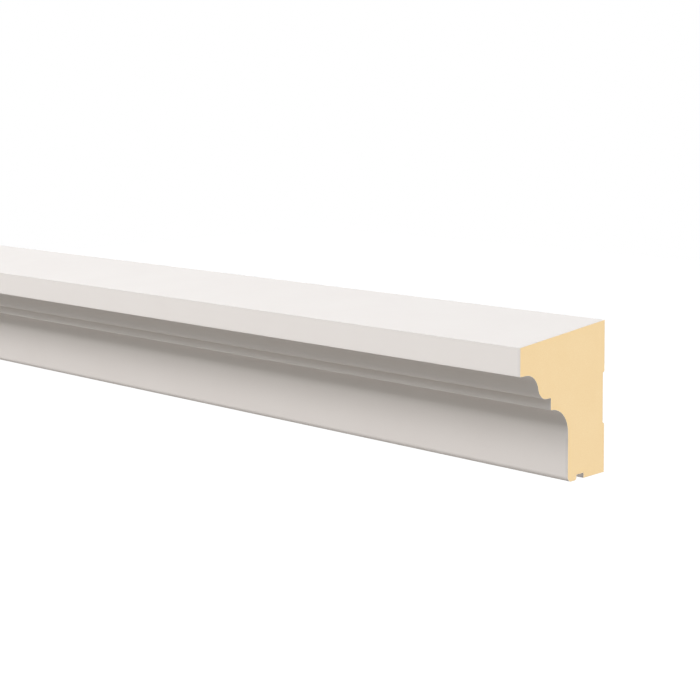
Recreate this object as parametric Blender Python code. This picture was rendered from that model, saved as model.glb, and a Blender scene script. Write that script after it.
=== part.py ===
"""Facade band moulding: a metre of rigid-foam cornice with a weathered top, a fascia, a cyma, a fillet,
a cove and a frieze that ends in a drip nose.

Metres, +Z up, +X along the run. The wall is the plane Y = 0 and the moulding stands out from it towards -Y.
The origin is on the wall, halfway along the run, at mid-height of the upper land that beds on the wall.
"""

import math

import bpy

# Run
LENGTH = 1.000

# Heights of the members, from the fascia down
WEATHERING_FALL = 0.0115
FASCIA_HEIGHT = 0.0253
CYMA_HEIGHT = 0.0240
FILLET_HEIGHT = 0.0109
FRIEZE_HEIGHT = 0.0445

# Depths of the members, from the fascia back to the wall
SOFFIT_DEPTH = 0.0086
ROUND_LEDGE = 0.0058
FILLET_LEDGE = 0.0015
NOSE_WIDTH = 0.0129
GROOVE_WIDTH = 0.0105
BASE_DEPTH = 0.0315

# Curves
CYMA_HOLLOW_RADIUS = 0.0170
CYMA_ROUND_RADIUS = 0.0124
COVE_RADIUS = 0.0238
NOSE_FRONT_RADIUS = 0.0050
NOSE_BACK_RADIUS = 0.0025
GROOVE_DEPTH = 0.0048
ARC_STEP_DEG = 6.0

# Back, where the adhesive lies in a shallow recess between two lands
LOWER_LAND = 0.0447
UPPER_LAND = 0.0470
RECESS_DEPTH = 0.0023
RECESS_TAPER = 0.0014

# Paint
PAINT_COLOUR = (0.87, 0.86, 0.84, 1.0)
PAINT_ROUGHNESS = 0.62

# Levels and depths that follow from the sizes above
FILLET_BOTTOM = FRIEZE_HEIGHT + COVE_RADIUS
FILLET_TOP = FILLET_BOTTOM + FILLET_HEIGHT
SOFFIT_LEVEL = FILLET_TOP + CYMA_HEIGHT
FASCIA_TOP = SOFFIT_LEVEL + FASCIA_HEIGHT
BACK_HEIGHT = FASCIA_TOP + WEATHERING_FALL
GROOVE_FRONT = BASE_DEPTH + GROOVE_WIDTH
FRIEZE_DEPTH = GROOVE_FRONT + NOSE_WIDTH
FILLET_DEPTH = FRIEZE_DEPTH + COVE_RADIUS + FILLET_LEDGE
ROUND_DEPTH = FILLET_DEPTH + ROUND_LEDGE
RECESS_TOP = BACK_HEIGHT - UPPER_LAND
WALL_ORIGIN_LEVEL = BACK_HEIGHT - UPPER_LAND / 2


def clear_scene():
    """Remove what the file opened with."""
    for thing in list(bpy.data.objects):
        bpy.data.objects.remove(thing, do_unlink=True)


def arc(centre, radius, start_deg, end_deg):
    """Points of an arc in the section's plane, ends included, no more than ARC_STEP_DEG apart."""
    steps = max(2, math.ceil(abs(end_deg - start_deg) / ARC_STEP_DEG))
    points = []
    for i in range(steps + 1):
        angle = math.radians(start_deg + (end_deg - start_deg) * i / steps)
        points.append((centre[0] + radius * math.cos(angle), centre[1] + radius * math.sin(angle)))
    return points


def nose():
    """The frieze's lower edge: a drip nose, rounder in front than towards the groove."""
    front_radius = min(NOSE_FRONT_RADIUS, NOSE_WIDTH * 0.6, FRIEZE_HEIGHT)
    back_radius = min(NOSE_BACK_RADIUS, NOSE_WIDTH - front_radius, GROOVE_DEPTH)
    back = arc((GROOVE_FRONT + back_radius, back_radius), back_radius, 180, 270)
    front = arc((FRIEZE_DEPTH - front_radius, front_radius), front_radius, 270, 360)
    return back + front


def cove():
    """The hollow quarter circle that carries the frieze out to the fillet."""
    centre = (FRIEZE_DEPTH + COVE_RADIUS, FRIEZE_HEIGHT)
    return arc(centre, COVE_RADIUS, 180, 90)


def cyma():
    """A round below and a hollow above, tangent to each other, to the ledge and to the soffit."""
    reach = CYMA_ROUND_RADIUS + CYMA_HOLLOW_RADIUS
    rise = reach - CYMA_HEIGHT
    run = math.sqrt(reach**2 - rise**2)
    turn = math.degrees(math.atan2(-rise, run))
    round_centre = (ROUND_DEPTH, FILLET_TOP + CYMA_ROUND_RADIUS)
    hollow_centre = (ROUND_DEPTH + run, SOFFIT_LEVEL - CYMA_HOLLOW_RADIUS)
    lower = arc(round_centre, CYMA_ROUND_RADIUS, -90, turn)
    upper = arc(hollow_centre, CYMA_HOLLOW_RADIUS, turn + 180, 90)
    return lower + upper[1:]


def section():
    """The section as (distance from the wall, height above the underside), once round from the wall's foot."""
    outline = [(0.0, 0.0), (BASE_DEPTH, 0.0), (BASE_DEPTH, GROOVE_DEPTH), (GROOVE_FRONT, GROOVE_DEPTH)]
    outline += nose()
    outline += cove()
    outline += [(FILLET_DEPTH, FILLET_BOTTOM), (FILLET_DEPTH, FILLET_TOP)]
    outline += cyma()
    fascia_depth = outline[-1][0] + SOFFIT_DEPTH
    outline += [(fascia_depth, SOFFIT_LEVEL), (fascia_depth, FASCIA_TOP), (0.0, BACK_HEIGHT)]
    outline += [
        (0.0, RECESS_TOP),
        (RECESS_DEPTH, RECESS_TOP - RECESS_TAPER),
        (RECESS_DEPTH, LOWER_LAND + RECESS_TAPER),
        (0.0, LOWER_LAND),
    ]
    return outline


def paint():
    """The matt off-white factory paint on the moulded faces."""
    material = bpy.data.materials.new("facade_paint")
    material.use_nodes = True
    shader = material.node_tree.nodes["Principled BSDF"]
    shader.inputs["Base Color"].default_value = PAINT_COLOUR
    shader.inputs["Roughness"].default_value = PAINT_ROUGHNESS
    shader.inputs["Metallic"].default_value = 0.0
    material.diffuse_color = PAINT_COLOUR
    return material


def band_moulding(collection):
    """The section as a flat filled curve, extruded by half the run to each side."""
    curve = bpy.data.curves.new("band_moulding", "CURVE")
    curve.dimensions = "2D"
    curve.fill_mode = "BOTH"
    curve.extrude = LENGTH / 2
    outline = section()
    spline = curve.splines.new("POLY")
    spline.points.add(len(outline) - 1)
    spline.use_cyclic_u = True
    for point, (depth, height) in zip(spline.points, outline):
        point.co = (depth, height - WALL_ORIGIN_LEVEL, 0.0, 1.0)
    curve.materials.append(paint())
    moulding = bpy.data.objects.new("band_moulding", curve)
    moulding.rotation_euler = (math.radians(90), 0.0, math.radians(-90))
    collection.objects.link(moulding)
    return moulding


def build():
    clear_scene()
    collection = bpy.data.collections.new("facade_band_moulding")
    bpy.context.scene.collection.children.link(collection)
    band_moulding(collection)


build()
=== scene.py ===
import math

import bpy
import numpy as np
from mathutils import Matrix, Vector, geometry, noise


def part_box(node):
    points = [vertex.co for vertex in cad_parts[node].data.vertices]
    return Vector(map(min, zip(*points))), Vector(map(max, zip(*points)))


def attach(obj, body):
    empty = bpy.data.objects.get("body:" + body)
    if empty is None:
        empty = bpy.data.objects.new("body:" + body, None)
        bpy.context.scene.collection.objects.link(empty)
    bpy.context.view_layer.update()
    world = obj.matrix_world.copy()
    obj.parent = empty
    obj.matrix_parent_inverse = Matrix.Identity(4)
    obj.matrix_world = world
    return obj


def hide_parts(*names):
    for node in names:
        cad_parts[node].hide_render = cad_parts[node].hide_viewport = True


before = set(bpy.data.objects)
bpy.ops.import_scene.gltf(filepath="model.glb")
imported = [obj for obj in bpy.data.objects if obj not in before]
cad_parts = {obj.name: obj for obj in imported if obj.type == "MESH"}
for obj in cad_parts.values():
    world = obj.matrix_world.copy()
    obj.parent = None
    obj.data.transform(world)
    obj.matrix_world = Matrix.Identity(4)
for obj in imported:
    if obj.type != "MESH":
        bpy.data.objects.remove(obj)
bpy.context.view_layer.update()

# Node that the detailed moulding stands for, the moulding's own name, and the node's box
NODE = "band_moulding"
PIECE = "moulding_painted_foam"
NODE_LOW, NODE_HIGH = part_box(NODE)
HALF_RUN = NODE_HIGH.x
UNDERSIDE = NODE_LOW.z
HEIGHT = NODE_HIGH.z - NODE_LOW.z

# Members of the section, in metres, as in the solid
WEATHERING_FALL = 0.0115
FASCIA_HEIGHT = 0.0253
CYMA_HEIGHT = 0.0240
FILLET_HEIGHT = 0.0109
COVE_RADIUS = 0.0238
CYMA_HOLLOW_RADIUS = 0.0170
CYMA_ROUND_RADIUS = 0.0124
SOFFIT_DEPTH = 0.0086
ROUND_LEDGE = 0.0058
FILLET_LEDGE = 0.0015
NOSE_WIDTH = 0.0129
NOSE_FRONT_RADIUS = 0.0050
NOSE_BACK_RADIUS = 0.0025
GROOVE_WIDTH = 0.0105
GROOVE_DEPTH = 0.0048
BASE_DEPTH = 0.0315
LOWER_LAND = 0.0447
UPPER_LAND = 0.0470
RECESS_DEPTH = 0.0023
RECESS_TAPER = 0.0014

# Levels above the underside and depths from the wall that follow from the sizes above
FASCIA_TOP = HEIGHT - WEATHERING_FALL
SOFFIT_LEVEL = FASCIA_TOP - FASCIA_HEIGHT
FILLET_TOP = SOFFIT_LEVEL - CYMA_HEIGHT
FILLET_BOTTOM = FILLET_TOP - FILLET_HEIGHT
FRIEZE_TOP = FILLET_BOTTOM - COVE_RADIUS
RECESS_TOP = HEIGHT - UPPER_LAND
GROOVE_FRONT = BASE_DEPTH + GROOVE_WIDTH
FRIEZE_DEPTH = GROOVE_FRONT + NOSE_WIDTH
FILLET_DEPTH = FRIEZE_DEPTH + COVE_RADIUS + FILLET_LEDGE
ROUND_DEPTH = FILLET_DEPTH + ROUND_LEDGE

# Softness of the arrises, of the paint that gathers in the inner corners and of the back's edges
ARRIS_RADIUS = 0.00012
FILLET_ARRIS_RADIUS = 0.0007
INNER_CORNER_RADIUS = 0.0004
BACK_ARRIS_RADIUS = 0.00015

# Steps round a softened corner, and the most of a side that it may take
CORNER_STEPS = 4
CORNER_SHARE = 0.45

# Paint film, which shows as a thin edge round the cut, and the depth of the foam's denser skin under it
PAINT_THICKNESS = 0.00012
SKIN_DEPTH = 0.006

# Painted shade: darker paint in bands beside the arrises and beside the cuts of faces turned to the light.
# The width of the bands beside the arrises and beside the cuts, how strongly the fascia's arrises and the
# fillet's lower one are darkened, and how far below the cove the frieze is still in shade
ARRIS_BAND = 0.0026
CUT_BAND = 0.0035
FASCIA_EDGE_SHADE = 0.50
FILLET_EDGE_SHADE = 0.90
SHADED_FRIEZE = 0.004
SHADED_ARRISES = ((FASCIA_TOP, FASCIA_EDGE_SHADE), (SOFFIT_LEVEL, FASCIA_EDGE_SHADE), (FILLET_BOTTOM, FILLET_EDGE_SHADE))

# How far a face must turn up and outward, towards the light, to take the painted shade, and outward to count
# as upright (1 is wholly)
EXPOSED_FACING = 0.6
UPRIGHT_FACING = 0.9

# Fineness of the mesh: round an arc, along the run and over a flat face, how close to a corner or a cut the
# first step lies, and the angle from which an edge is shaded sharp
ARC_STEP_DEG = 3.0
RUN_STEP = 0.007
FACE_STEP = 0.0035
CORNER_MARGIN = 0.0005
SHARP_EDGE_DEG = 50

# The shortest straight stretch that is divided, and the shortest that also has a band beside each arris
DIVIDED_STRETCH = 4 * CORNER_MARGIN
BANDED_STRETCH = 3 * ARRIS_BAND

# Points of the bare foam: their spacing, the seed of their scatter, and as shares of the spacing the distance
# between rows, the scatter and the clearance from the edge
FOAM_STEP = 0.0013
FOAM_SEED = 11
FOAM_ROW = 0.87
FOAM_SCATTER = 0.2
FOAM_CLEARANCE = 0.6

# Triangles of the cut: only those inside its edge, and how close two points may be before they are one
CUT_INSIDE_ONLY = 1
CUT_MERGE = 1e-7

# Relief of the cast faces: its depth, the length of its waves along the run, how much shorter they are across
# it, how much finer the ripple on them is and its place in the noise, and the shares of an even level, of the
# waves and of the ripple
CAST_RELIEF = 0.00006
CAST_WAVE = 0.070
CAST_SQUEEZE = 1.6
CAST_RIPPLE = 5
CAST_RIPPLE_PLACE = Vector((7.0, 3.0, 1.0))
CAST_SHARES = (0.5, 0.4, 0.1)

# Relief that the saw left on the foam: its depth, the pitch of its streaks and the direction across them, the
# features per metre of its patches and its grain with each one's slice of the noise, and the shares of an
# even level, of the streaks, of the patches and of the grain
SAW_RELIEF = 0.00010
SAW_PITCH = 0.0031
SAW_ACROSS_DEPTH = 0.34
SAW_ACROSS_HEIGHT = 0.94
SAW_PATCHES = 55
SAW_PATCH_SLICE = 0.4
SAW_GRAIN = 420
SAW_GRAIN_SLICE = 2.7
SAW_SHARES = (0.45, 0.12, 0.25, 0.18)

# Material slots of the mesh
PAINT_SLOT = 0
FOAM_SLOT = 1

# Colours, linear
WHITE = (1.0, 1.0, 1.0, 1.0)
PAINT_PALE = (0.865, 0.826, 0.796, 1.0)
PAINT_DEEP = (0.855, 0.814, 0.784, 1.0)
# Darker paint for the painted shade beside the arrises and cuts of faces turned to the light
PAINT_EDGE_SHADE = (0.770, 0.737, 0.712, 1.0)
FOAM_PALE = (0.955, 0.735, 0.430, 1.0)
FOAM_DEEP = (0.905, 0.665, 0.360, 1.0)
FOAM_SKIN = (0.930, 0.690, 0.370, 1.0)
FLOOR_COLOUR = (0.10, 0.10, 0.10, 1.0)

# Noise in the finishes: its features per metre and its detail
CLOUD_NOISE = (16, 3)
SHEEN_NOISE = (120, 2)
PEEL_NOISE = (620, 2)
FINE_PEEL_NOISE = (2600, 1)
BLOTCH_NOISE = (45, 3)
DULLNESS_NOISE = (300, 2)
FOAM_CELLS = 1900

# Ranges in the finishes: the two values that count, and the two that they become
CLOUD_RANGE = (0.35, 0.65, 0.0, 1.0)
SHEEN_RANGE = (0.3, 0.7, 0.58, 0.70)
CELL_RANGE = (0.0, 0.8, 0.0, 1.0)
BLOTCH_RANGE = (0.35, 0.75, 0.0, 0.35)
SKIN_RANGE = (0.0, 1.0, 0.6, 0.0)
DULLNESS_RANGE = (0.3, 0.7, 0.80, 0.92)

# Fine relief in the finishes: its depth in metres and its strength
PEEL_BUMP = (0.00002, 0.5)
FINE_PEEL_BUMP = (0.000006, 0.4)
PIT_BUMP = (0.0001, 0.4)

# Specular level of each surface, where 0.5 is that of a glossy plastic
PAINT_SPECULAR = 0.25
FOAM_SPECULAR = 0.2
FLOOR_SPECULAR = 0.0

# Fill light that reaches the moulding from all round, in bands: the angle of each round the run (0 is the
# front horizon and 90 is overhead), its colour and strength, and how far it leans towards the cut end (+1) or
# the far end (-1). These weren't all set by hand. The rows at -180, -120, 0, 90, 140 and 180 are what a
# least-squares fit of the light to the photograph's shading gave, rounded, with its levels times 0.8 and its
# zeros as 0.01. The rows at -60, -25, 12, 30 and 46 were changed or added after that fit.
FILL_BANDS = (
    (-180.0, (0.96, 0.96, 0.96), -0.08),
    (-120.0, (0.86, 0.86, 0.86), -0.16),
    (-60.0, (0.124, 0.096, 0.083), 0.0),
    (-25.0, (0.298, 0.281, 0.255), 0.0),
    (0.0, (0.435, 0.425, 0.39), 0.0),
    (12.0, (0.565, 0.575, 0.555), 0.0),
    (30.0, (0.515, 0.560, 0.590), 0.0),
    (46.0, (0.63, 0.705, 0.755), 0.0),
    (90.0, (0.01, 0.01, 0.01), 0.0),
    (140.0, (0.01, 0.01, 0.01), 0.0),
    (180.0, (0.96, 0.96, 0.96), -0.08),
)
BACKDROP_LEVEL = 1.0

# Soft boxes: the name, the angle round the run as above, the angle along it towards the cut end, the
# distance, half the width in degrees, the strength and the colour. The three near ones stand towards the far
# end, which brightens it a little. The same fit picked the angle round the run and the width of the key and
# top boxes, and gave the strengths and colours that theirs were changed from.
SOFT_BOXES = (
    ("key_soft_box", 44.0, -14.0, 8.5, 10.0, 1.562, (1.049, 1.0, 0.99)),
    ("low_soft_box", 37.4, -14.0, 8.5, 1.5, 0.12, (1.052, 1.0, 0.99)),
    ("top_soft_box", 76.0, -12.0, 8.5, 8.0, 1.511, (0.98, 1.0, 1.010)),
    ("end_soft_box", -150.0, 75.0, 60.0, 15.0, 1.86, (1.0, 0.996, 1.0)),
    ("far_end_soft_box", 180.0, -80.0, 60.0, 5.0, 0.8, (1.0, 1.0, 1.0)),
)

# Camera at the photograph's viewing angle, pitched a little down; the shift does the rest of the framing. Its
# place, azimuth, pitch and lens are what a fit of the moulding's edges to the photograph gave.
CAMERA_PLACE = (1.3329, -1.1804, 0.2319)
CAMERA_AZIMUTH_DEG = 44.456
CAMERA_PITCH_DEG = 2.301
CAMERA_LENS_MM = 80.884
CAMERA_SENSOR_MM = 36.0
CAMERA_SHIFT_Y = -0.28
CAMERA_CLIP_START = 0.05

# Floor: how far below the moulding it lies, half its width, and its finish
FLOOR_DROP = 0.55
FLOOR_HALF = 6.0
FLOOR_GLOW = 0.97
FLOOR_ROUGHNESS = 0.9


def arc(centre, radius, start_deg, end_deg):
    """Points of an arc, with no corner to soften, no more than ARC_STEP_DEG apart."""
    steps = max(2, math.ceil(abs(end_deg - start_deg) / ARC_STEP_DEG))
    points = []
    for i in range(steps + 1):
        angle = math.radians(start_deg + (end_deg - start_deg) * i / steps)
        points.append((centre[0] + radius * math.cos(angle), centre[1] + radius * math.sin(angle), 0.0))
    return points


def nose():
    """The frieze's lower edge: a drip nose, rounder in front than towards the groove."""
    back_centre = (GROOVE_FRONT + NOSE_BACK_RADIUS, NOSE_BACK_RADIUS)
    front_centre = (FRIEZE_DEPTH - NOSE_FRONT_RADIUS, NOSE_FRONT_RADIUS)
    return arc(back_centre, NOSE_BACK_RADIUS, 180, 270) + arc(front_centre, NOSE_FRONT_RADIUS, 270, 360)


def cove():
    """The hollow quarter circle that carries the frieze out to the fillet."""
    return arc((FRIEZE_DEPTH + COVE_RADIUS, FRIEZE_TOP), COVE_RADIUS, 180, 90)


def cyma():
    """A round below and a hollow above, tangent to each other, to the ledge and to the soffit."""
    reach = CYMA_ROUND_RADIUS + CYMA_HOLLOW_RADIUS
    rise = reach - CYMA_HEIGHT
    run = math.sqrt(reach**2 - rise**2)
    turn = math.degrees(math.atan2(-rise, run))
    round_centre = (ROUND_DEPTH, FILLET_TOP + CYMA_ROUND_RADIUS)
    hollow_centre = (ROUND_DEPTH + run, SOFFIT_LEVEL - CYMA_HOLLOW_RADIUS)
    lower = arc(round_centre, CYMA_ROUND_RADIUS, -90, turn)
    upper = arc(hollow_centre, CYMA_HOLLOW_RADIUS, turn + 180, 90)
    return lower + upper[1:]


def corners():
    """The section, counter-clockwise: distance from the wall, height above the underside, corner radius."""
    outline = [
        (0.0, 0.0, BACK_ARRIS_RADIUS),
        (BASE_DEPTH, 0.0, ARRIS_RADIUS),
        (BASE_DEPTH, GROOVE_DEPTH, INNER_CORNER_RADIUS),
        (GROOVE_FRONT, GROOVE_DEPTH, INNER_CORNER_RADIUS),
    ]
    outline += nose()
    outline += cove()
    outline += [
        (FILLET_DEPTH, FILLET_BOTTOM, FILLET_ARRIS_RADIUS),
        (FILLET_DEPTH, FILLET_TOP, INNER_CORNER_RADIUS),
    ]
    outline += cyma()
    fascia_depth = outline[-1][0] + SOFFIT_DEPTH
    outline += [
        (fascia_depth, SOFFIT_LEVEL, ARRIS_RADIUS),
        (fascia_depth, FASCIA_TOP, ARRIS_RADIUS),
        (0.0, HEIGHT, BACK_ARRIS_RADIUS),
        (0.0, RECESS_TOP, INNER_CORNER_RADIUS),
        (RECESS_DEPTH, RECESS_TOP - RECESS_TAPER, INNER_CORNER_RADIUS),
        (RECESS_DEPTH, LOWER_LAND + RECESS_TAPER, INNER_CORNER_RADIUS),
        (0.0, LOWER_LAND, INNER_CORNER_RADIUS),
    ]
    return outline


def softened(outline):
    """The outline with each corner that has a radius turned into a small arc."""
    points = []
    for i, (depth, height, radius) in enumerate(outline):
        corner = Vector((depth, height))
        if radius == 0.0:
            points.append(corner)
            continue
        before = Vector(outline[i - 1][:2]) - corner
        after = Vector(outline[(i + 1) % len(outline)][:2]) - corner
        half_angle = before.angle(after) / 2
        most = min(before.length * CORNER_SHARE, after.length * CORNER_SHARE)
        setback = min(radius / math.tan(half_angle), most)
        start = corner + before.normalized() * setback
        end = corner + after.normalized() * setback
        for step in range(CORNER_STEPS + 1):
            share = step / CORNER_STEPS
            first = start.lerp(corner, share)
            second = corner.lerp(end, share)
            points.append(first.lerp(second, share))
    return points


def with_runs(points):
    """The outline with its straight stretches divided, close to each end and then evenly."""
    result = []
    for i, point in enumerate(points):
        result.append(point)
        following = points[(i + 1) % len(points)]
        length = (following - point).length
        if length < DIVIDED_STRETCH:
            continue
        margin = ARRIS_BAND if length > BANDED_STRETCH else CORNER_MARGIN
        inner = length - 2 * margin
        pieces = max(1, round(inner / FACE_STEP))
        distances = [margin + inner * step / pieces for step in range(pieces + 1)]
        if margin > CORNER_MARGIN:
            distances = [CORNER_MARGIN] + distances + [length - CORNER_MARGIN]
        result += [point.lerp(following, distance / length) for distance in distances]
    return result


def outward(points):
    """The outward normal at each point of a counter-clockwise outline."""
    normals = []
    for i, point in enumerate(points):
        following = points[(i + 1) % len(points)]
        along = (following - point).normalized() + (point - points[i - 1]).normalized()
        normals.append(Vector((along.y, -along.x)).normalized())
    return normals


def edge_shade_share(x, point, normal):
    """How much painted shade darkens the paint of a face turned to the light, from 0 to 1.

    The shade is painted beside the cuts on the top, the fascia and the frieze, and beside upright faces'
    arrises.
    """
    if (normal.x + normal.y) / math.sqrt(2) < EXPOSED_FACING:
        return 0.0
    painted_shade = 0.0
    if point.y > SOFFIT_LEVEL or point.y < FRIEZE_TOP - SHADED_FRIEZE:
        painted_shade = max(0.0, 1.0 - (HALF_RUN - abs(x)) / CUT_BAND)
    if normal.x > UPRIGHT_FACING:
        for arris, share in SHADED_ARRISES:
            painted_shade = max(painted_shade, share * (1.0 - abs(point.y - arris) / ARRIS_BAND))
    return painted_shade


def cast_relief(x, depth, height):
    """How far the cast face lies inside its true plane, a few hundredths of a millimetre."""
    level, wave_share, ripple_share = CAST_SHARES
    wave = noise.noise(Vector((x, depth * CAST_SQUEEZE, height * CAST_SQUEEZE)) / CAST_WAVE)
    ripple = noise.noise(Vector((x, depth, height)) * CAST_RIPPLE / CAST_WAVE + CAST_RIPPLE_PLACE)
    return CAST_RELIEF * (level + wave_share * wave + ripple_share * ripple)


def saw_relief(depth, height):
    """How far the saw left the foam below the plane of the cut."""
    level, streak_share, patch_share, grain_share = SAW_SHARES
    across = height * SAW_ACROSS_HEIGHT + depth * SAW_ACROSS_DEPTH
    streak = math.sin(across * 2 * math.pi / SAW_PITCH)
    patch = noise.noise(Vector((depth, height, SAW_PATCH_SLICE)) * SAW_PATCHES)
    grain = noise.noise(Vector((depth, height, SAW_GRAIN_SLICE)) * SAW_GRAIN)
    return SAW_RELIEF * (level + streak_share * streak + patch_share * patch + grain_share * grain)


def run_stations():
    """Places along the run, with two close to each cut for its crisp edge and its band of painted shade."""
    count = round(2 * HALF_RUN / RUN_STEP)
    inner = HALF_RUN - 2 * CORNER_MARGIN
    middle = [inner * (2 * i / count - 1) for i in range(count + 1)]
    band = HALF_RUN - CUT_BAND
    return sorted([-HALF_RUN, -band] + middle + [band, HALF_RUN])


def place(x, depth, height):
    """A point of the section, at x along the run, in the part's frame."""
    return Vector((x, -depth, UNDERSIDE + height))


def inside_outline(points, outline):
    """True for each point that lies inside the outline."""
    crossings = np.zeros(len(points), dtype=int)
    for (x0, y0), (x1, y1) in zip(outline, np.roll(outline, -1, axis=0)):
        if y0 == y1:
            continue
        spans = (points[:, 1] < y0) != (points[:, 1] < y1)
        at = x0 + (points[:, 1] - y0) * (x1 - x0) / (y1 - y0)
        crossings += spans & (points[:, 0] < at)
    return crossings % 2 == 1


def distance_to_outline(points, outline):
    """The distance from each point to the nearest place on the outline."""
    nearest = np.full(len(points), np.inf)
    for start, end in zip(outline, np.roll(outline, -1, axis=0)):
        side = end - start
        share = np.clip((points - start) @ side / (side @ side), 0.0, 1.0)
        gap = np.hypot(*(points - start - share[:, None] * side).T)
        nearest = np.minimum(nearest, gap)
    return nearest


def as_array(points):
    """Flat points as rows of an array."""
    return np.array([(point.x, point.y) for point in points])


def foam_points(outline):
    """Points over the cut face, on a staggered grid with a little scatter, clear of its edge."""
    scatter = np.random.default_rng(FOAM_SEED)
    low, high = outline.min(axis=0), outline.max(axis=0)
    columns = np.arange(low[0], high[0], FOAM_STEP)
    rows = np.arange(low[1], high[1], FOAM_STEP * FOAM_ROW)
    grid = []
    for i, row in enumerate(rows):
        stagger = (i % 2) * FOAM_STEP / 2
        grid += [(column + stagger, row) for column in columns]
    grid = np.array(grid)
    grid += scatter.uniform(-FOAM_SCATTER, FOAM_SCATTER, grid.shape) * FOAM_STEP
    clear = distance_to_outline(grid, outline) > FOAM_STEP * FOAM_CLEARANCE
    return grid[inside_outline(grid, outline) & clear]


class MeshDraft:
    """A mesh as it grows: points with their foam depth and painted shade, and faces with their material slot.
    """

    def __init__(self):
        self.points = []
        self.foam_depth = []
        self.edge_shade = []
        self.faces = []
        self.slots = []

    def add_point(self, point, foam_depth, edge_shade):
        """Add a point and return its index."""
        self.points.append(point)
        self.foam_depth.append(foam_depth)
        self.edge_shade.append(edge_shade)
        return len(self.points) - 1

    def add_face(self, loop, slot, flipped=False):
        """Add a face from the indices of its points, turned over if flipped."""
        self.faces.append(loop[::-1] if flipped else loop)
        self.slots.append(slot)

    def as_mesh(self, name):
        """The mesh, smooth apart from its sharp edges, with the two values of its points as attributes."""
        mesh = bpy.data.meshes.new(name)
        mesh.from_pydata(self.points, [], self.faces)
        mesh.polygons.foreach_set("material_index", self.slots)
        for attribute, values in (("foam_depth", self.foam_depth), ("edge_shade", self.edge_shade)):
            mesh.attributes.new(attribute, "FLOAT", "POINT").data.foreach_set("value", values)
        mesh.validate()
        mesh.shade_smooth()
        mesh.set_sharp_from_angle(angle=math.radians(SHARP_EDGE_DEG))
        return mesh


def add_run(draft, section):
    """The painted faces from cut to cut. Returns the section's points at each station along the run."""
    normals = outward(section)
    rings = []
    for x in run_stations():
        ring = []
        for point, normal in zip(section, normals):
            relief = cast_relief(x, point.x, point.y)
            surface = place(x, point.x - normal.x * relief, point.y - normal.y * relief)
            # Each point keeps how much painted shade darkens its paint beside the arrises and cuts
            ring.append(draft.add_point(surface, 0.0, edge_shade_share(x, point, normal)))
        rings.append(ring)
    for ring, following in zip(rings, rings[1:]):
        for j in range(len(ring)):
            k = (j + 1) % len(ring)
            draft.add_face((ring[j], following[j], following[k], ring[k]), PAINT_SLOT)
    return rings


def add_cut(draft, ring, side):
    """One cut, where side is -1 at the far end and 1 at the other: the paint's thin edge and the foam."""
    x = side * HALF_RUN
    count = len(ring)
    rim = [Vector((-draft.points[i].y, draft.points[i].z - UNDERSIDE)) for i in ring]
    edge = [point - normal * PAINT_THICKNESS for point, normal in zip(rim, outward(rim))]
    # The paint's thin edge at the cut takes the full painted shade
    edge_ring = [draft.add_point(place(x, point.x, point.y), 0.0, 1.0) for point in edge]
    for j in range(count):
        k = (j + 1) % count
        draft.add_face((ring[j], ring[k], edge_ring[k], edge_ring[j]), PAINT_SLOT, flipped=side > 0)

    outline = as_array(edge)
    points = edge + [Vector(point) for point in foam_points(outline)]
    sides = [(j, (j + 1) % count) for j in range(count)]
    filled = geometry.delaunay_2d_cdt(points, sides, [], CUT_INSIDE_ONLY, CUT_MERGE)
    flat_points, triangles, origins = filled[0], filled[2], filled[3]
    gaps = distance_to_outline(as_array(flat_points), outline)
    index = []
    for point, sources, gap in zip(flat_points, origins, gaps):
        if sources and sources[0] < count:
            index.append(edge_ring[sources[0]])
            continue
        relief = saw_relief(point.x, point.y) * min(1.0, gap / FOAM_STEP)
        surface = place(x - side * relief, point.x, point.y)
        index.append(draft.add_point(surface, min(1.0, float(gap) / SKIN_DEPTH), 0.0))
    for triangle in triangles:
        draft.add_face(tuple(index[i] for i in triangle), FOAM_SLOT, flipped=side > 0)


def moulding_mesh():
    """The whole moulding as one closed mesh, with painted faces and bare foam in their slots."""
    draft = MeshDraft()
    rings = add_run(draft, with_runs(softened(corners())))
    add_cut(draft, rings[0], -1.0)
    add_cut(draft, rings[-1], 1.0)
    return draft.as_mesh(PIECE)


def new_material(name):
    """A node material with its Principled shader."""
    material = bpy.data.materials.new(name)
    material.use_nodes = True
    return material, material.node_tree, material.node_tree.nodes["Principled BSDF"]


def object_coordinates(tree):
    """Places on the part in its own metres."""
    return tree.nodes.new("ShaderNodeTexCoord").outputs["Object"]


def add_noise(tree, coordinates, scale, detail):
    """A noise texture, with scale in features per metre."""
    texture = tree.nodes.new("ShaderNodeTexNoise")
    texture.inputs["Scale"].default_value = scale
    texture.inputs["Detail"].default_value = detail
    tree.links.new(coordinates, texture.inputs["Vector"])
    return texture.outputs["Fac"]


def add_range(tree, value, low, high, to_low, to_high):
    """The value mapped from one range to another and held at its ends."""
    node = tree.nodes.new("ShaderNodeMapRange")
    node.inputs["From Min"].default_value = low
    node.inputs["From Max"].default_value = high
    node.inputs["To Min"].default_value = to_low
    node.inputs["To Max"].default_value = to_high
    tree.links.new(value, node.inputs["Value"])
    return node.outputs["Result"]


def add_mix(tree, factor, first, second):
    """A blend of two colours; each is a colour or the output of a node."""
    node = tree.nodes.new("ShaderNodeMix")
    node.data_type = "RGBA"
    tree.links.new(factor, node.inputs["Factor"])
    for name, colour in (("A", first), ("B", second)):
        socket = next(s for s in node.inputs if s.name == name and s.type == "RGBA")
        if isinstance(colour, tuple):
            socket.default_value = colour
        else:
            tree.links.new(colour, socket)
    return next(s for s in node.outputs if s.type == "RGBA")


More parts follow.
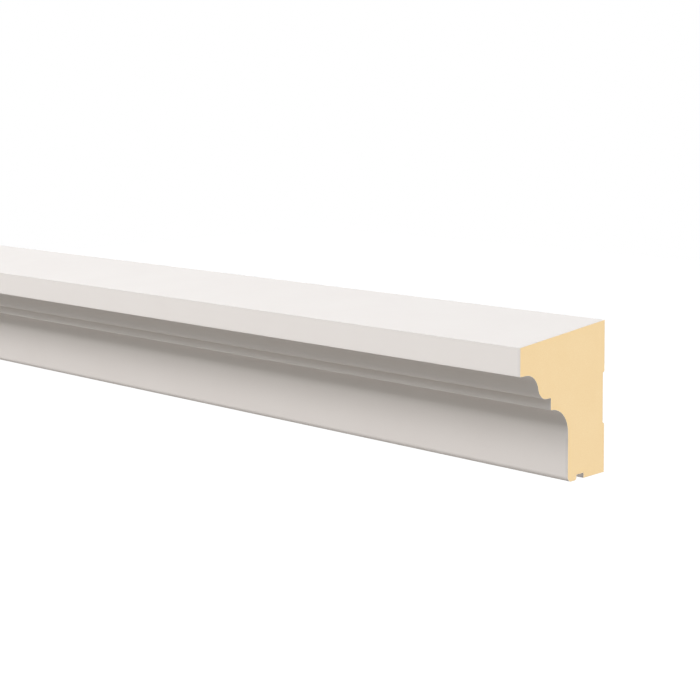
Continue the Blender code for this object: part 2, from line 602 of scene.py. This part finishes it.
def add_bump(tree, height, distance, strength, normal=None):
    """A bump from a height, on top of another bump if there is one."""
    node = tree.nodes.new("ShaderNodeBump")
    node.inputs["Distance"].default_value = distance
    node.inputs["Strength"].default_value = strength
    tree.links.new(height, node.inputs["Height"])
    if normal is not None:
        tree.links.new(normal, node.inputs["Normal"])
    return node.outputs["Normal"]


def add_attribute(tree, name):
    """A value that the mesh holds for each point."""
    node = tree.nodes.new("ShaderNodeAttribute")
    node.attribute_name = name
    return node.outputs["Fac"]


def add_ramp(tree, position, stops):
    """A colour ramp with a linear run between its stops, each a place from 0 to 1 and a colour."""
    node = tree.nodes.new("ShaderNodeValToRGB")
    elements = node.color_ramp.elements
    while len(elements) > 1:
        elements.remove(elements[-1])
    for i, (place_on_ramp, colour) in enumerate(stops):
        element = elements[0] if i == 0 else elements.new(place_on_ramp)
        element.position = place_on_ramp
        element.color = (*colour, 1.0)
    tree.links.new(position, node.inputs["Fac"])
    return node.outputs["Color"]


def add_math(tree, operation, *values):
    """A math node on two or three values; each is a number or the output of a node."""
    node = tree.nodes.new("ShaderNodeMath")
    node.operation = operation
    for socket, value in zip(node.inputs, values):
        if isinstance(value, float):
            socket.default_value = value
        else:
            tree.links.new(value, socket)
    return node.outputs["Value"]


def facade_paint():
    """Matt sprayed paint: a fine orange peel, a faint cloudiness, and bands of painted shade beside the
    arrises and cuts.
    """
    material, tree, shader = new_material("facade_paint")
    where = object_coordinates(tree)
    cloud = add_range(tree, add_noise(tree, where, *CLOUD_NOISE), *CLOUD_RANGE)
    colour = add_mix(tree, cloud, PAINT_PALE, PAINT_DEEP)
    # Painted shade: darker paint beside the arrises and cuts of faces turned to the light, where the mesh
    # asks for it
    colour = add_mix(tree, add_attribute(tree, "edge_shade"), colour, PAINT_EDGE_SHADE)
    tree.links.new(colour, shader.inputs["Base Color"])

    sheen = add_range(tree, add_noise(tree, where, *SHEEN_NOISE), *SHEEN_RANGE)
    tree.links.new(sheen, shader.inputs["Roughness"])
    shader.inputs["Specular IOR Level"].default_value = PAINT_SPECULAR
    peel = add_bump(tree, add_noise(tree, where, *PEEL_NOISE), *PEEL_BUMP)
    peel = add_bump(tree, add_noise(tree, where, *FINE_PEEL_NOISE), *FINE_PEEL_BUMP, peel)
    tree.links.new(peel, shader.inputs["Normal"])
    return material


def bare_foam():
    """Sawn rigid foam: fine closed cells, faint blotches, and a slightly denser skin under the paint."""
    material, tree, shader = new_material("bare_foam")
    where = object_coordinates(tree)
    cells = tree.nodes.new("ShaderNodeTexVoronoi")
    cells.inputs["Scale"].default_value = FOAM_CELLS
    tree.links.new(where, cells.inputs["Vector"])
    tone = add_range(tree, cells.outputs["Distance"], *CELL_RANGE)
    colour = add_mix(tree, tone, FOAM_DEEP, FOAM_PALE)
    blotch = add_range(tree, add_noise(tree, where, *BLOTCH_NOISE), *BLOTCH_RANGE)
    colour = add_mix(tree, blotch, colour, FOAM_DEEP)
    skin = add_range(tree, add_attribute(tree, "foam_depth"), *SKIN_RANGE)
    colour = add_mix(tree, skin, colour, FOAM_SKIN)
    tree.links.new(colour, shader.inputs["Base Color"])

    dullness = add_range(tree, add_noise(tree, where, *DULLNESS_NOISE), *DULLNESS_RANGE)
    tree.links.new(dullness, shader.inputs["Roughness"])
    shader.inputs["Specular IOR Level"].default_value = FOAM_SPECULAR
    pits = add_bump(tree, cells.outputs["Distance"], *PIT_BUMP)
    tree.links.new(pits, shader.inputs["Normal"])
    return material


def floor_material():
    """A plain pale studio floor that gives a light of its own, so that it stays evenly white."""
    material, _, shader = new_material("studio_floor")
    shader.inputs["Base Color"].default_value = FLOOR_COLOUR
    shader.inputs["Roughness"].default_value = FLOOR_ROUGHNESS
    shader.inputs["Specular IOR Level"].default_value = FLOOR_SPECULAR
    shader.inputs["Emission Color"].default_value = WHITE
    shader.inputs["Emission Strength"].default_value = FLOOR_GLOW
    return material


def make_moulding():
    """The painted foam moulding, which stands for the plain solid."""
    mesh = moulding_mesh()
    mesh.materials.append(facade_paint())
    mesh.materials.append(bare_foam())
    moulding = bpy.data.objects.new(PIECE, mesh)
    bpy.context.scene.collection.objects.link(moulding)
    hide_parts(NODE)
    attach(moulding, "root")


def make_floor():
    """A floor well below the moulding. It is seen, but the fill stands for the light that it throws back."""
    level = UNDERSIDE - FLOOR_DROP
    signs = ((-1, -1), (1, -1), (1, 1), (-1, 1))
    mesh = bpy.data.meshes.new("floor")
    mesh.from_pydata([(x * FLOOR_HALF, y * FLOOR_HALF, level) for x, y in signs], [], [(0, 1, 2, 3)])
    mesh.materials.append(floor_material())
    floor = bpy.data.objects.new("floor", mesh)
    bpy.context.scene.collection.objects.link(floor)
    floor.visible_diffuse = False
    floor.visible_glossy = False
    floor.visible_shadow = False


def fill_light(tree):
    """The fill as a background whose strength follows the bands round the run and their lean along it."""
    split = tree.nodes.new("ShaderNodeSeparateXYZ")
    tree.links.new(tree.nodes.new("ShaderNodeTexCoord").outputs["Generated"], split.inputs["Vector"])
    front = add_math(tree, "MULTIPLY", split.outputs["Y"], -1.0)
    turn = add_math(tree, "ARCTAN2", split.outputs["Z"], front)
    position = add_range(tree, turn, -math.pi, math.pi, 0.0, 1.0)

    # A ramp holds values from 0 to 1, so the lean goes in as (lean + 1) / 2 and is brought back after it
    levels = []
    leans = []
    for angle, light, lean in FILL_BANDS:
        place_on_ramp = (angle + 180.0) / 360.0
        levels.append((place_on_ramp, light))
        leans.append((place_on_ramp, [(lean + 1.0) / 2] * 3))
    colour = add_ramp(tree, position, levels)
    lean = add_math(tree, "MULTIPLY_ADD", add_ramp(tree, position, leans), 2.0, -1.0)
    strength = add_math(tree, "MULTIPLY_ADD", lean, split.outputs["X"], 1.0)
    fill = tree.nodes.new("ShaderNodeBackground")
    tree.links.new(colour, fill.inputs["Color"])
    tree.links.new(strength, fill.inputs["Strength"])
    return fill.outputs["Background"]


def make_world():
    """Soft fill light from all round, and the white backdrop that is seen behind the moulding."""
    world = bpy.data.worlds.new("studio")
    bpy.context.scene.world = world
    world.use_nodes = True
    tree = world.node_tree
    tree.nodes.clear()
    backdrop = tree.nodes.new("ShaderNodeBackground")
    backdrop.inputs["Color"].default_value = WHITE
    backdrop.inputs["Strength"].default_value = BACKDROP_LEVEL
    choose = tree.nodes.new("ShaderNodeMixShader")
    tree.links.new(tree.nodes.new("ShaderNodeLightPath").outputs["Is Camera Ray"], choose.inputs["Fac"])
    tree.links.new(fill_light(tree), choose.inputs[1])
    tree.links.new(backdrop.outputs["Background"], choose.inputs[2])
    output = tree.nodes.new("ShaderNodeOutputWorld")
    tree.links.new(choose.outputs["Shader"], output.inputs["Surface"])


def make_soft_boxes():
    """Soft boxes, each a disc that faces the moulding and lights it about as a sun of its strength does."""
    middle = (NODE_LOW + NODE_HIGH) / 2
    for name, turn_deg, lean_deg, distance, half_width_deg, strength, colour in SOFT_BOXES:
        turn = math.radians(turn_deg)
        lean = math.radians(lean_deg)
        front = -math.cos(turn) * math.cos(lean)
        up = math.sin(turn) * math.cos(lean)
        towards = Vector((math.sin(lean), front, up))
        data = bpy.data.lights.new(name, "AREA")
        data.shape = "DISK"
        data.size = 2 * distance * math.tan(math.radians(half_width_deg))
        data.energy = strength * math.pi * distance**2
        data.color = colour
        box = bpy.data.objects.new(name, data)
        box.location = middle + towards * distance
        box.rotation_euler = towards.to_track_quat("Z", "Y").to_euler()
        box.visible_camera = False
        bpy.context.scene.collection.objects.link(box)


def make_camera():
    """The camera that frames the moulding as the photograph does."""
    data = bpy.data.cameras.new("camera")
    data.lens = CAMERA_LENS_MM
    data.sensor_width = CAMERA_SENSOR_MM
    data.shift_y = CAMERA_SHIFT_Y
    data.clip_start = CAMERA_CLIP_START
    camera = bpy.data.objects.new("camera", data)
    camera.location = CAMERA_PLACE
    camera.rotation_euler = (math.radians(90 - CAMERA_PITCH_DEG), 0.0, math.radians(CAMERA_AZIMUTH_DEG))
    bpy.context.scene.collection.objects.link(camera)
    bpy.context.scene.camera = camera


make_moulding()
make_floor()
make_world()
make_soft_boxes()
make_camera()
bpy.context.scene.view_settings.view_transform = "Standard"
